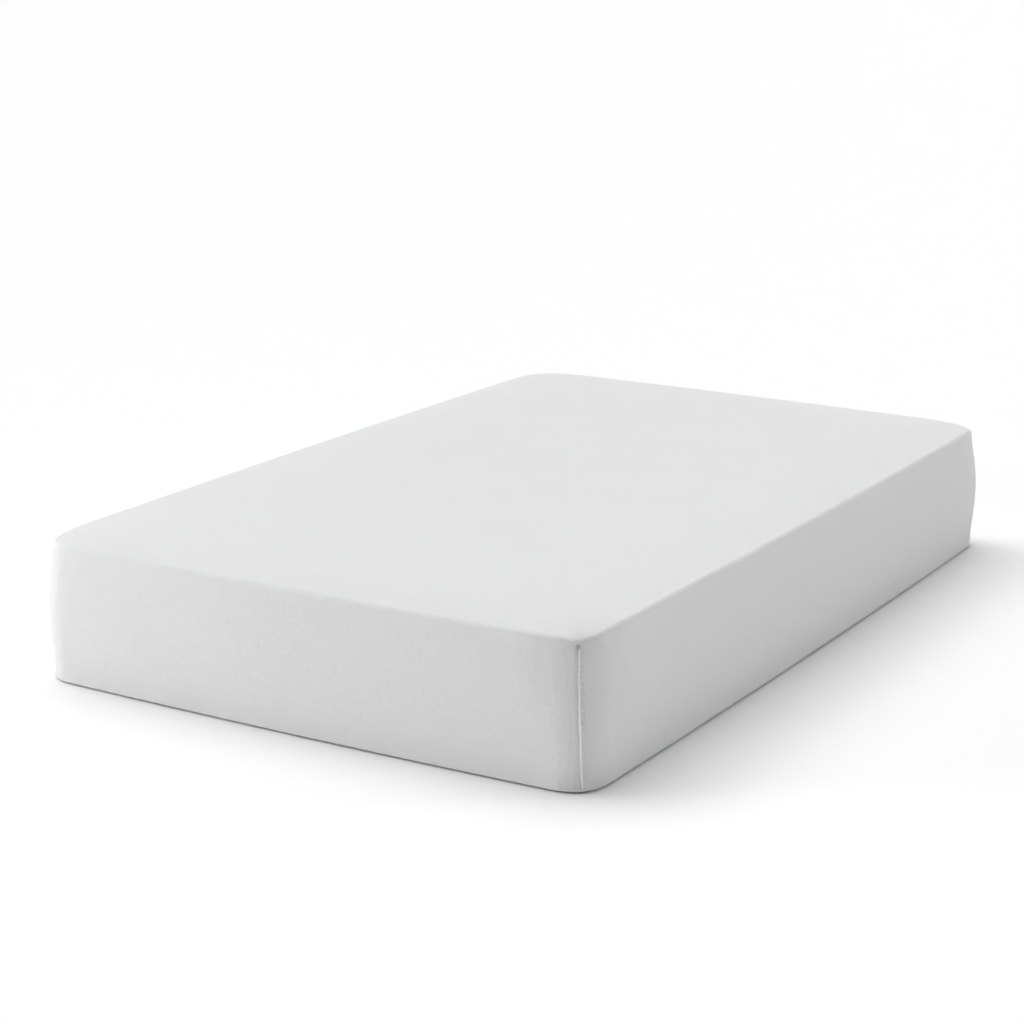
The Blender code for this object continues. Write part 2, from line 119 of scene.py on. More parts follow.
# The grid of a skin: quads to a half corner, to the straight of a short side and to that of a long side
FINE_GRID = (24, 110, 140)
SIDE_ROWS = 96
EDGE_ROWS = 9
BASE_GRID = (10, 64, 80)
INNER_GRID = (6, 20, 30)
SIMULATED_GRID = (4, 20, 32)
SIMULATED_FRAMES = 20
KNIT_STRETCH = {
    "quality": 8,
    "mass": 0.3,
    "tension_stiffness": 400,
    "compression_stiffness": 300,
    "shear_stiffness": 200,
    "bending_stiffness": 2,
    "uniform_pressure_force": 0.6,
}
SWELLING_CAP = 0.0015
SWELLING_BLUR = 0.035
SEAM_GRADING = 1.35  # above 1, the quads are closer together at a corner's middle

CORNER_SIGNS = np.array(((1, 1), (-1, 1), (-1, -1), (1, -1)))
CORNER_NAMES = ("back_right", "back_left", "front_left", "front_right")
SIDE_CARRIES_ZIP = np.array((True, True, False, False))
ARC_CENTRE = np.array((CAD_HIGH.x - SIDE_BOW - CORNER_RADIUS, CAD_HIGH.y - SIDE_BOW - CORNER_RADIUS))
ARC_LENGTH = math.pi / 2 * CORNER_RADIUS
SIDE_LENGTHS = np.array([2 * ARC_CENTRE[number % 2] for number in range(4)])

# How far each corner's seam stands anticlockwise of its middle: at its foot, at its top, its sway between
SEAM_LEAN = np.array((
    (0.001, -0.003, 0),
    (-0.002, 0.003, 0),
    (-0.028, -0.028, 0),
    (0.0006, -0.0065, -0.0045),
))
LEAN_REACH = 0.055  # the knit beside a leaning seam follows it, this far to each side
SEAM_TO_EDGE = 0.0155  # a corner seam ends this far below its corner of the top edge, in a tuck
# How far the knit is drawn in at each corner near the top
CORNER_DRAW = np.array((0.0095, 0.004, 0.004, 0.0135))
DRAW_START = np.array((0.5, 0.5, 0.5, 0.15)) * HEIGHT
DRAW_END = np.array((0.95, 0.95, 0.95, 0.8)) * HEIGHT
DRAW_REACH = 0.130
# How far the top edge sags at each corner, and in the middle of the side that runs anticlockwise from it
CORNER_SAG = np.array((0.007, 0.008, 0.012, 0.012))
SIDE_SAG = np.array((0.0045, 0.007, 0.008, 0.001))
SAG_REACH = 0.130
# How far each corner comes to a ridge beyond its round, at its foot and at its top
CORNER_RIDGE = np.array(((0.001, 0.001), (0.001, 0.001), (0.001, 0.002), (0.0045, 0.0052)))
RIDGE_REACH = 0.055
# How deep the knit is drawn in beside a corner's seam
LAP_DEPTH = 0.0018  # on the side where the cloth ends, fading over its width
LAP_WIDTH = 0.0075
GROOVE_DEPTH = 0.0009  # on the other side
PUCKER_DEPTH = 0.0016
PUCKER_PITCH = 0.0098
TUCK_DEPTH = 0.0062  # at the seam's top, with a fold of cloth over it
FOLD_HEIGHT = 0.0024
SEAM_HALF_WIDTH = 0.0014
SEAM_STAND = 0.0025
SEAM_LIFT = 0.0010  # from the knit to the middle of the seam's ridge
SEAM_STEP = 0.0012


# ---- The skin
def smooth_step(value, low, high):
    """0 below low and 1 above high, with a soft rise between them."""
    share = np.clip((value - low) / (high - low), 0, 1)
    return share * share * (3 - 2 * share)


def barrel_inset(z):
    """How far the side is set in at a height: fullest at mid-height, and upright under the top edge."""
    from_middle = 2 * np.maximum(z, HEM_TOP) / HEIGHT - 1
    under_edge = np.clip(from_middle - SHOULDER, 0, 1 - SHOULDER)
    bent = np.minimum(from_middle, SHOULDER) ** 2
    return SIDE_BARREL * (bent + SHOULDER * under_edge * (2 - under_edge / (1 - SHOULDER)))


def base_inset(z):
    """How far the quarter round at the foot of the side sets it in at a height."""
    below = np.clip(1 - z / COVER_BASE_RADIUS, 0, 1)
    return COVER_BASE_RADIUS * (1 - np.sqrt(1 - below ** 2))


def corner_share(quarter, along, corner_amounts, reach, side_amounts=np.zeros(4)):
    """Each side's amount in its middle, which turns into its corners' amounts over a reach before them."""
    total = SIDE_LENGTHS[quarter] + ARC_LENGTH
    shared = side_amounts[quarter]
    for corner, distance in ((quarter, along), ((quarter + 1) % 4, total - along)):
        fade = 0.5 + 0.5 * np.cos(math.pi * np.clip(distance / reach, 0, 1))
        shared = shared + (corner_amounts[corner] - side_amounts[quarter]) * fade
    return shared


def skin(quarter, along, z, depth):
    """Places on the skin. A quarter runs anticlockwise from one corner's middle to the next one's."""
    quarter, along, z, depth = np.broadcast_arrays(quarter, along, z, depth)
    nearest = np.where(along < (SIDE_LENGTHS[quarter] + ARC_LENGTH) / 2, quarter, (quarter + 1) % 4)
    risen = smooth_step(z, DRAW_START[nearest], DRAW_END[nearest])
    drawn = corner_share(quarter, along, CORNER_DRAW, DRAW_REACH) * risen
    sagged = corner_share(quarter, along, CORNER_SAG, SAG_REACH, SIDE_SAG)
    sagged = sagged * smooth_step(z, HEIGHT / 2, 0.95 * HEIGHT)
    side = SIDE_LENGTHS[quarter]
    turned = np.minimum(along, ARC_LENGTH / 2) + np.maximum(along - ARC_LENGTH / 2 - side, 0)
    angle = (quarter + 0.5) * math.pi / 2 + turned / CORNER_RADIUS
    share = np.clip((along - ARC_LENGTH / 2) / side, 0, 1)[..., None]
    centre = ARC_CENTRE * (CORNER_SIGNS[quarter] * (1 - share) + CORNER_SIGNS[(quarter + 1) % 4] * share)
    fullness = 1 - (2 * share[..., 0] - 1) ** 2
    bow = np.where(SIDE_CARRIES_ZIP[quarter], smooth_step(z, HEM_TOP, FULL_BOW_HEIGHT), 1)
    bow = bow * SIDE_BOW * fullness
    reach = CORNER_RADIUS - barrel_inset(z) - depth + bow - drawn
    outward = np.stack((np.cos(angle), np.sin(angle)), axis=-1)
    return np.concatenate((centre + reach[..., None] * outward, (z - sagged)[..., None]), axis=-1)


def ring_places(grid):
    """(quarter, along) of each column of a skin's grid, closer together towards the corners' middles."""
    corner_quads, *side_quads = grid
    half_arc = ARC_LENGTH / 2
    from_middle = half_arc * (np.arange(corner_quads + 1) / corner_quads) ** SEAM_GRADING
    end_step = half_arc * SEAM_GRADING / corner_quads
    quarters, places = [], []
    for quarter, length in enumerate(SIDE_LENGTHS):
        count = side_quads[quarter % 2]
        share = np.arange(1, count) / count
        crowding = 1 - end_step * count / length
        straight = half_arc + length * (share - crowding * np.sin(2 * math.pi * share) / (2 * math.pi))
        far = 2 * half_arc + length - from_middle[:0:-1]
        row = np.concatenate((from_middle, straight, far))
        places.append(row)
        quarters.append(np.full(len(row), quarter))
    return np.concatenate(quarters), np.concatenate(places)


def seam_shift(corner, z):
    """How far a corner's seam stands anticlockwise of the corner's middle at a height."""
    foot, top, sway = np.moveaxis(SEAM_LEAN[corner], -1, 0)
    up = z / HEIGHT
    return foot + (top - foot) * up + 4 * sway * up * (1 - up)


def leaning(quarter, along, z):
    """The places along their quarters, shifted as the corner seams lean."""
    total = SIDE_LENGTHS[quarter] + ARC_LENGTH
    shifted = along + 0 * z
    for corner, distance in ((quarter, along), ((quarter + 1) % 4, total - along)):
        shifted = shifted + seam_shift(corner, z) * smooth_step(-distance, -LEAN_REACH, 0)
    return shifted


def past_the_zip(places):
    """How far each place lies beyond the zip's end, or below 0 where the zip runs."""
    return np.maximum(places[..., 0] - ZIP_END_X, ZIP_START_Y - places[..., 1])


def slot_edges(places):
    """The heights of the cover's lower edge and of the base panel's upper edge, at places round the plan."""
    past = past_the_zip(places)
    descent = smooth_step(past, 0.004, SLOT_DESCENT_LENGTH)
    seam = ZIP_HEIGHT + (BASE_SEAM_HEIGHT - ZIP_HEIGHT) * descent
    gap = SLOT_HALF_HEIGHT * (1 - smooth_step(past, 0, SLOT_CLOSING_LENGTH)) + 0.0001
    return seam + gap, seam - gap


def grid_across(rim, grid):
    """Fills a ring of places with a grid that blends its four sides: the places, and the rim's numbers."""
    corner_quads, short_quads, long_quads = grid
    nx, ny = 2 * corner_quads + short_quads, 2 * corner_quads + long_quads
    ring_index = np.full((nx + 1, ny + 1), -1)
    ring_index[::-1, ny][:nx] = np.arange(nx)
    ring_index[0, ::-1][:ny] = nx + np.arange(ny)
    ring_index[:nx, 0] = nx + ny + np.arange(nx)
    ring_index[nx, :ny] = 2 * nx + ny + np.arange(ny)
    place = np.zeros((nx + 1, ny + 1, 3))
    on_rim = ring_index >= 0
    place[on_rim] = rim[ring_index[on_rim]]
    u = np.linspace(0, 1, nx + 1)[:, None, None]
    v = np.linspace(0, 1, ny + 1)[None, :, None]
    across = (1 - u) * place[:1] + u * place[-1:]
    down = (1 - v) * place[:, :1] + v * place[:, -1:]
    start_corners = (1 - v) * place[0, 0] + v * place[0, -1]
    end_corners = (1 - v) * place[-1, 0] + v * place[-1, -1]
    corners = (1 - u) * start_corners + u * end_corners
    return np.where(on_rim[..., None], place, across + down - corners), ring_index


def inward_distance(grid_places):
    """How far each place of a grid across the top lies in from its four edges, rounded off between them."""
    plan = grid_places[..., :2]
    edges = (plan[:1], plan[-1:], plan[:, :1], plan[:, -1:])
    distances = [np.maximum(np.linalg.norm(plan - edge, axis=-1), 1e-5) for edge in edges]
    return sum(distance ** -4 for distance in distances) ** -0.25


def crown(inward):
    """How far the top rises from its edge towards its middle."""
    left = 1 - np.clip(inward / CROWN_REACH, 0, 1)
    return TOP_DROP * (1 - left ** 2)


# ---- Making pieces
def add_object(name, data):
    """A new object in the scene."""
    made = bpy.data.objects.new(name, data)
    bpy.context.scene.collection.objects.link(made)
    return made


def add_piece(name, data, body, look, replaced=()):
    """A new piece that rides on a body, in a material, and stands for CAD nodes."""
    piece = add_object(name, data)
    data.materials.clear()
    data.materials.append(look)
    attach(piece, body)
    if replaced:
        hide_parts(*replaced)
    return piece


def mesh_of(name, places, faces, smooth=True):
    """A mesh from places and faces, smooth-shaded unless it is told otherwise."""
    mesh = bpy.data.meshes.new(name)
    mesh.from_pydata([tuple(place) for place in places], [], [tuple(face) for face in faces])
    mesh.polygons.foreach_set("use_smooth", [smooth] * len(mesh.polygons))
    mesh.update()
    return mesh


def ring_faces(rows, columns):
    """The quads of a wall of rows that close round on themselves, with outward faces."""
    row, column = np.meshgrid(np.arange(rows - 1), np.arange(columns), indexing="ij")
    below, above = row * columns, (row + 1) * columns
    after = (column + 1) % columns
    return np.stack((below + column, below + after, above + after, above + column), axis=-1).reshape(-1, 4)


def grid_faces(index, upward):
    """The quads of a grid of vertex numbers, which face up or down."""
    second, fourth = index[1:, :-1], index[:-1, 1:]
    if not upward:
        second, fourth = fourth, second
    return np.stack((index[:-1, :-1], second, index[1:, 1:], fourth), axis=-1).reshape(-1, 4)


def distance_along(path):
    """How far along a path each of its places lies."""
    return np.concatenate(([0], np.cumsum(np.linalg.norm(np.diff(path, axis=0), axis=1))))


def directions_along(path):
    """The unit vector forward at each place of a path."""
    forwards = np.gradient(path, axis=0)
    return forwards / np.linalg.norm(forwards, axis=1)[:, None]


def numbered(ring_index, rim_start, new_start):
    """A grid's vertex numbers, with its rim's already there and the rest new, and which are new."""
    new = ring_index < 0
    index = ring_index + rim_start
    index[new] = new_start + np.arange(new.sum())
    return index, new


def capped_wall(rows, grid, crowned=False):
    """Places and faces of a wall of rows, with a grid across its last one."""
    levels, columns, _ = rows.shape
    places = rows.reshape(-1, 3)
    walls = ring_faces(levels, columns)
    across, ring_index = grid_across(rows[-1], grid)
    if crowned:
        across[..., 2] += crown(inward_distance(across))
    index, inner = numbered(ring_index, (levels - 1) * columns, len(places))
    places = np.concatenate((places, across[inner]))
    return places, walls, grid_faces(index, upward=True)


def vectors_of(items, attribute):
    """An attribute of each of a mesh's items, such as its vertices' places, as an array."""
    values = np.zeros(len(items) * 3, dtype=np.float32)
    items.foreach_get(attribute, values)
    return values.reshape(-1, 3)


def thicken(piece, thickness, offset=-1):
    """Gives a skin its cloth's thickness, inward unless it is told otherwise."""
    cloth = piece.modifiers.new("cloth_thickness", "SOLIDIFY")
    cloth.thickness = thickness
    cloth.offset = offset


# ---- The cover
def edge_levels(edge_rows, radius):
    """(height below the top's edge, depth) round the top edge, from the side to where the crown begins."""
    last = math.pi / 2 - CROWN_SLOPE
    turns = last * np.arange(1, edge_rows + 1) / edge_rows
    return radius * (math.sin(last) - np.sin(turns)), radius * (1 - np.cos(turns))


def cover_rows(grid, side_rows, edge_rows):
    """The cover's side, from its lower edge up and round its top edge, as rows of places."""
    quarter, along = ring_places(grid)
    low, _ = slot_edges(skin(quarter, along, ZIP_HEIGHT, 0))
    high = HEIGHT - TOP_DROP - TOP_EDGE_RADIUS * math.cos(CROWN_SLOPE)
    rows = []
    for row in range(side_rows + 1):
        z = low + (high - low) * row / side_rows
        rows.append(skin(quarter, leaning(quarter, along, z), z, base_inset(z)))
    for below, depth in zip(*edge_levels(edge_rows, TOP_EDGE_RADIUS)):
        z = HEIGHT - TOP_DROP - below + 0 * along
        rows.append(skin(quarter, leaning(quarter, along, z), z, depth))
    return np.array(rows)


def noise_at(places, wavelengths, seed):
    """Smooth noise from -1 to 1 at places, with a wavelength along each axis."""
    scaled = places / np.array(wavelengths) + seed
    return np.array([noise.noise(place) for place in scaled.tolist()])


def corner_frame(places, corner):
    """Each place's distance anticlockwise of a corner's seam, and outward from the middle of its arc."""
    outward = CORNER_SIGNS[corner] / math.sqrt(2)
    centre = ARC_CENTRE * CORNER_SIGNS[corner]
    offset = places[:, :2] - centre
    radial = offset @ outward
    lateral = offset @ np.array((-outward[1], outward[0]))
    return lateral - seam_shift(corner, places[:, 2]), radial


def bell(value, middle, width):
    """A smooth bump of height 1."""
    return np.exp(-((value - middle) / width) ** 2)


def corner_relief(places, corner):
    """How far the knit stands in or out round a corner seam: its ridge, lap, puckers, tuck and fold."""
    lateral, radial = corner_frame(places, corner)
    z = places[:, 2]
    foot_ridge, top_ridge = CORNER_RIDGE[corner]
    height = foot_ridge + (top_ridge - foot_ridge) * smooth_step(z, 0.02, 0.16)
    cusp = np.clip(1 - np.abs(lateral) / RIDGE_REACH, 0, 1) ** 2.2 * smooth_step(radial, 0.03, 0.06)
    below = HEIGHT - TOP_DROP - CORNER_SAG[corner] - z
    ridge = height * cusp * smooth_step(below, 0.002, 0.035)
    sewn = smooth_step(below, SEAM_TO_EDGE - 0.004, SEAM_TO_EDGE + 0.004)
    lap = -LAP_DEPTH * np.exp(-np.abs(lateral) / LAP_WIDTH)
    groove = -GROOVE_DEPTH * bell(lateral, -0.0024, 0.0018)
    jitter = noise_at(places, (0.05, 0.05, 0.021), corner * 7.3)
    stitch = 0.5 - 0.5 * np.cos(2 * math.pi * (z / PUCKER_PITCH + 0.4 * jitter))
    puckers = -PUCKER_DEPTH * stitch ** 2 * bell(lateral, 0.0052, 0.0019)
    beside = sewn * (np.where(lateral > 0, lap, groove) + puckers)
    tuck = -TUCK_DEPTH * bell(lateral, 0.0010, 0.0038) * bell(below, SEAM_TO_EDGE - 0.0035, 0.0036)
    fold = FOLD_HEIGHT * bell(lateral, -0.005, 0.0110) * bell(below, SEAM_TO_EDGE - 0.0095, 0.0028)
    return np.where(radial > 0.01, ridge + beside + tuck + fold, 0)


def cover_relief(places):
    """How far the knit stands in or out everywhere: slow swells, fine upright wrinkles and the corners."""
    x, y, z = places.T
    on_side = smooth_step(-z, -HEIGHT, -HEIGHT + 0.03)
    from_corner = np.hypot(
        np.maximum(ARC_CENTRE[0] + CORNER_RADIUS - np.abs(x), 0),
        np.maximum(ARC_CENTRE[1] + CORNER_RADIUS - np.abs(y), 0),
    )
    swell = 0.0007 * noise_at(places, (0.23, 0.23, 0.15), 3.1)
    near_seam = np.exp(-from_corner / 0.110)
    wrinkles = 0.0006 * noise_at(places, (0.013, 0.013, 0.060), 11.7) * near_seam * on_side
    peel = 0.0003 * noise_at(places, (0.011, 0.011, 0.016), 23.9) * on_side
    relief = swell + wrinkles + peel
    for corner in range(4):
        relief = relief + corner_relief(places, corner)
    return relief


def label_nip(places):
    """1 along the label's sewn top edge, fading to 0 a little way round it."""
    low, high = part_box("care_label")
    x, y, z = places.T
    beside = np.maximum(np.abs(x - (low.x + high.x) / 2) - (high.x - low.x) / 2, 0)
    above_or_below = smooth_step(-np.abs(z - high.z), -0.026, -0.008)
    return np.where(y > 0, smooth_step(-beside, -0.020, 0) * above_or_below, 0)


def knit_uv(mesh, rows, wall_count):
    """UVs in metres: round and up on the side, and the plan on the top."""
    uv_layer = mesh.uv_layers.new(name="knit_metres")
    levels, columns, _ = rows.shape
    closed = np.concatenate((rows, rows[:, :1]), axis=1)
    middle = closed[levels // 2]
    round_it = distance_along(middle)
    up_it = distance_along(rows[:, columns // 8])
    row, column = np.meshgrid(np.arange(levels - 1), np.arange(columns), indexing="ij")
    u = np.stack((round_it[column], round_it[column + 1], round_it[column + 1], round_it[column]), axis=-1)
    v = np.stack((up_it[row], up_it[row], up_it[row + 1], up_it[row + 1]), axis=-1)
    side_uv = np.stack((u, v), axis=-1).reshape(-1, 2)
    loops = np.zeros(len(mesh.loops), dtype=np.int32)
    mesh.loops.foreach_get("vertex_index", loops)
    plan = vectors_of(mesh.vertices, "co")[loops[wall_count * 4:], :2]
    uv_layer.data.foreach_set("uv", np.concatenate((side_uv, plan)).ravel())


def stretched_knit():
    """A coarse cover, held at its hem and across its top and swollen by Cloth between: how far it moved."""
    rows = cover_rows(SIMULATED_GRID, 10, 4)
    places, walls, top = capped_wall(rows, SIMULATED_GRID, crowned=True)
    mesh = mesh_of("stretched_knit", places, np.concatenate((walls, top)))
    cloth_piece = add_object("stretched_knit", mesh)
    normals = vectors_of(mesh.vertex_normals, "vector")
    on_foam = np.flatnonzero(places[:, 2] > HEIGHT - TOP_DROP - 2 * TOP_EDGE_RADIUS)
    held = cloth_piece.vertex_groups.new(name="held")
    held.add(list(range(rows.shape[1])) + on_foam.tolist(), 1.0, "REPLACE")
    cloth = cloth_piece.modifiers.new("stretch", "CLOTH")
    for setting, value in KNIT_STRETCH.items():
        setattr(cloth.settings, setting, value)
    cloth.settings.vertex_group_mass = "held"
    cloth.settings.use_pressure = True
    cloth.settings.effector_weights.gravity = 0
    for frame_number in range(1, SIMULATED_FRAMES + 1):
        bpy.context.scene.frame_set(frame_number)
    swollen = cloth_piece.evaluated_get(bpy.context.evaluated_depsgraph_get())
    moved = ((vectors_of(swollen.data.vertices, "co") - places) * normals).sum(axis=1)
    bpy.data.objects.remove(cloth_piece)
    bpy.context.scene.frame_set(1)
    return places, moved


def swelling(places):
    """How far the stretched knit stands in or out at each place: the coarse simulation's, softly capped."""
    coarse, moved = stretched_knit()
    capped = SWELLING_CAP * np.tanh(moved / SWELLING_CAP)
    tree = KDTree(len(coarse))
    for number, place in enumerate(coarse.tolist()):
        tree.insert(place, number)
    tree.balance()
    result = np.zeros(len(places))
    for number, place in enumerate(places.tolist()):
        near = tree.find_n(place, 12)
        weights = [math.exp(-(distance / SWELLING_BLUR) ** 2) for _, _, distance in near]
        total = sum(weight * capped[index] for weight, (_, index, _) in zip(weights, near))
        result[number] = total / sum(weights)
    return result


def make_cover(look):
    """Top and sides of the cover in one knitted skin, down to the base seam or the zip's slot."""
    rows = cover_rows(FINE_GRID, SIDE_ROWS, EDGE_ROWS)
    places, walls, top = capped_wall(rows, FINE_GRID, crowned=True)
    mesh = mesh_of("cover", places, np.concatenate((walls, top)))
    knit_uv(mesh, rows, len(walls))
    normals = vectors_of(mesh.vertex_normals, "vector")
    relief = cover_relief(places)
    above_hem = smooth_step(places[:, 2], HEM_TOP, HEM_TOP + 0.05)
    relief = relief + swelling(places) * above_hem
    nip = label_nip(places)
    relief = relief * (1 - nip) - LABEL_NIP * nip
    moved = places + normals * relief[:, None]
    mesh.vertices.foreach_set("co", moved.ravel())
    mesh.update()
    cover = add_piece("cover", mesh, "mattress", look, ["cover_upper"])
    thicken(cover, COVER_THICKNESS)


# ---- Seams and the base
def make_bead(name, path, outwards, half_width, stand, pitch, look, slot, replaced):
    """A sewn ridge along a path, with a flattened section that its stitches nip at every pitch."""
    sides = 10
    path, outwards = np.array(path), np.array(outwards)
    sideways = np.cross(directions_along(path), outwards)
    run = distance_along(path)
    nip = 1 - 0.14 * (0.5 + 0.5 * np.cos(2 * math.pi * run / pitch))
    taper = np.minimum(1, np.sqrt(np.minimum(run, run[-1] - run) / (2 * half_width)) + 0.15)
    size = (nip * taper)[:, None]
    places = []
    for side in range(sides):
        angle = 2 * math.pi * side / sides
        offset = half_width * math.cos(angle) * sideways + stand * math.sin(angle) * outwards
        places.append(path + size * offset)
    places = np.stack(places, axis=1)
    count = len(path)
    faces = [tuple(face) for face in ring_faces(count, sides)]
    faces.append(tuple(range(sides))[::-1])
    faces.append(tuple(range((count - 1) * sides, count * sides)))
    mesh = mesh_of(name, places.reshape(-1, 3), faces)
    return add_piece(name, mesh, "mattress", look, replaced)


def make_corner_seams(look):
    """The ridge of each corner's lapped seam, from just above the base seam or the zip to its tuck."""
    heights = np.arange(0.0050, HEIGHT - TOP_DROP - SEAM_TO_EDGE, SEAM_STEP)
    for corner, name in enumerate(CORNER_NAMES):
        quarter = np.full(len(heights), corner)
        along = leaning(quarter, np.zeros(len(heights)), heights)
        place = skin(quarter, along, heights, 0)
        outward = skin(quarter, along, heights, -1) - place
        above_zip = heights > slot_edges(place)[0] + 0.001
        place, outward = place[above_zip], outward[above_zip]
        place = place + outward * (cover_relief(place) + SEAM_LIFT)[:, None]
        section = (SEAM_HALF_WIDTH, SEAM_STAND, PUCKER_PITCH)
        make_bead("seam_" + name, place, outward, *section, look, "seam_thread", ["corner_seam_" + name])


def base_seam_path(step):
    """The base seam from one end of the zip round to the other: places, and which way each faces."""
    places, outwards = [], []
    for quarter in (1, 2, 3, 0):
        length = SIDE_LENGTHS[quarter] + ARC_LENGTH
        along = np.arange(0, length, step)
        quarters = np.full(len(along), quarter)
        at_skin = skin(quarters, along, ZIP_HEIGHT, 0)
        upper, lower = slot_edges(at_skin)
        z = (upper + lower) / 2
        kept = past_the_zip(at_skin) > SLOT_CLOSING_LENGTH * 0.8
        here = skin(quarters, along, z, 0)
        outward = skin(quarters, along, z, -1) - here
        for corner in range(4):
            here = here + outward * corner_relief(here, corner)[:, None]
        places.append(here[kept])
        outwards.append(outward[kept])
    return np.concatenate(places), np.concatenate(outwards)


def make_base_welt(look):
    """The rolled seam round the foot of the cover, which rises to the zip's slot at both ends."""
    path, outwards = base_seam_path(0.004)
    lumps = 0.0003 * noise_at(path, (0.018, 0.018, 1), 5.5) - 0.0010
    path = path + outwards * lumps[:, None]
    section = (WELT_RADIUS, WELT_RADIUS, 0.009)
    make_bead("base_welt", path, outwards, *section, look, "knit_cover", ["base_seam_welt"])


def make_base_panel(look):
    """The underside of the cover, turned up to the base seam or to the lower edge of the zip's slot."""
    quarter, along = ring_places(BASE_GRID)
    _, high = slot_edges(skin(quarter, along, ZIP_HEIGHT, 0))
    turn_height = np.minimum(high - 0.0005, BASE_EDGE_RADIUS)
    tucked_in = 0.0016 * (1 - smooth_step(high, 0.004, 0.010))
    rows = []
    for row in range(5):
        z = high + (turn_height - high) * row / 4
        rows.append(skin(quarter, along, z, tucked_in))
    for row in range(1, 9):
        inward = row / 8
        z = BASE_FABRIC_LIFT + (turn_height - BASE_FABRIC_LIFT) * (1 - inward) ** 1.7
        rows.append(skin(quarter, along, z, tucked_in + UNDERCUT * inward ** 1.3))
    # The rows run downward here, so the faces are turned over to look outward
    places, walls, bottom = capped_wall(np.array(rows), BASE_GRID)
    mesh = mesh_of("base_panel", places, np.concatenate((walls, bottom))[:, ::-1])
    panel = add_piece("base_panel", mesh, "mattress", look, ["cover_base_panel"])
    thicken(panel, BASE_PANEL_THICKNESS)
    return panel


def make_anti_slip_dots(look):
    """Small rubber dots in staggered rows on the underside, which the mattress stands on."""
    edge_x = CAD_HIGH.x - SIDE_BOW - UNDERCUT - DOT_MARGIN
    edge_y = CAD_HIGH.y - SIDE_BOW - UNDERCUT - DOT_MARGIN
    across = DOT_PITCH * math.sqrt(3) / 2
    turns = np.arange(DOT_SIDES) * 2 * math.pi / DOT_SIDES
    ring = np.stack((np.cos(turns), np.sin(turns), np.zeros(DOT_SIDES)), axis=-1)
    dot = np.concatenate((ring * DOT_RADIUS + (0, 0, BASE_FABRIC_LIFT + 0.0004), ring * DOT_RADIUS * 0.6))
    cap = list(range(DOT_SIDES))
    dot_faces = ring_faces(2, DOT_SIDES)[:, ::-1].tolist()
    dot_faces += [cap, [DOT_SIDES + corner for corner in cap[::-1]]]
    places, faces = [], []
    for row in range(-int(edge_y / across), int(edge_y / across) + 1):
        for column in range(-int(edge_x / DOT_PITCH), int(edge_x / DOT_PITCH) + 1):
            x, y = (column + 0.5 * (row % 2)) * DOT_PITCH, row * across
            from_x, from_y = abs(x) - edge_x + DOT_FIELD_ROUND, abs(y) - edge_y + DOT_FIELD_ROUND
            if math.hypot(max(from_x, 0), max(from_y, 0)) > DOT_FIELD_ROUND:
                continue
            first = len(places) * len(dot)
            places.append(dot + (x, y, 0))
            faces += [[first + corner for corner in face] for face in dot_faces]
    mesh = mesh_of("anti_slip_dots", np.concatenate(places), faces, smooth=False)
    return add_piece("anti_slip_dots", mesh, "mattress", look)


def zip_path(step, depth, rise=0.0, overrun=0.0):
    """Places, outwards and forwards along the zip, from its start on the -X side to the +Y side."""
    samples = 800
    long_side, short_side = SIDE_LENGTHS[1] + ARC_LENGTH, SIDE_LENGTHS[0] + ARC_LENGTH
    quarters = np.repeat((1, 0), samples)
    along = np.concatenate((np.linspace(long_side, 0, samples), np.linspace(short_side, 0, samples)))
    places = skin(quarters, along, ZIP_HEIGHT + rise, depth)
    outwards = skin(quarters, along, ZIP_HEIGHT + rise, depth - 1) - places
    kept = past_the_zip(places) < overrun
    places, outwards = places[kept], outwards[kept]
    run = distance_along(places)
    at = np.arange(step / 2, run[-1], step)
    both = np.concatenate((places, outwards), axis=1).T
    even = np.stack([np.interp(at, run, values) for values in both], axis=-1)
    places, outwards = even[:, :3], even[:, 3:]
    outwards = outwards / np.linalg.norm(outwards, axis=1)[:, None]
    return places, outwards, directions_along(places)


def scatter(name, shape, shape_faces, places, outwards, forwards, body, look, slot, replaced=()):
    """Copies of a small closed shape along a path. Its axes are forward, outward and their cross product."""
    upwards = np.cross(outwards, forwards)
    axes = np.stack((forwards, outwards, upwards), axis=1)
    copies = places[:, None] + np.einsum("vk,nkc->nvc", shape, axes)
    starts = np.arange(len(places)) * len(shape)
    faces = [[start + corner for corner in face] for start in starts.tolist() for face in shape_faces]
    return add_piece(name, mesh_of(name, copies.reshape(-1, 3), faces), body, look, replaced)


def turned_shape(profile, sides, flatness, axis):
    """A closed shape turned round an axis, 0 forward or 2 up, from (place on the axis, radius) pairs."""
    turns = np.arange(sides) * 2 * math.pi / sides
    rings = []
    for place, radius in profile:
        first, second = radius * np.cos(turns), radius * flatness * np.sin(turns)
        on_axis = np.full(sides, place)
        rings.append(np.stack((on_axis, second, first) if axis == 0 else (first, second, on_axis), axis=-1))
    faces = [list(face) for face in ring_faces(len(profile), sides)]
    if axis == 0:
        faces = [face[::-1] for face in faces]
    last = (len(profile) - 1) * sides
    caps = [list(range(sides))[::-1], list(range(last, last + sides))]
    faces += [cap[::-1] for cap in caps] if axis == 0 else caps
    return np.concatenate(rings), faces


def stitch_shape(half_length, half_straight, radius):
    """One stitch that lies forward along its seam, with blunt ends."""
    tip = 0.00008
    profile = [(-half_length, tip), (-half_straight, radius), (half_straight, radius), (half_length, tip)]
    return turned_shape(profile, 5, 0.8, 0)


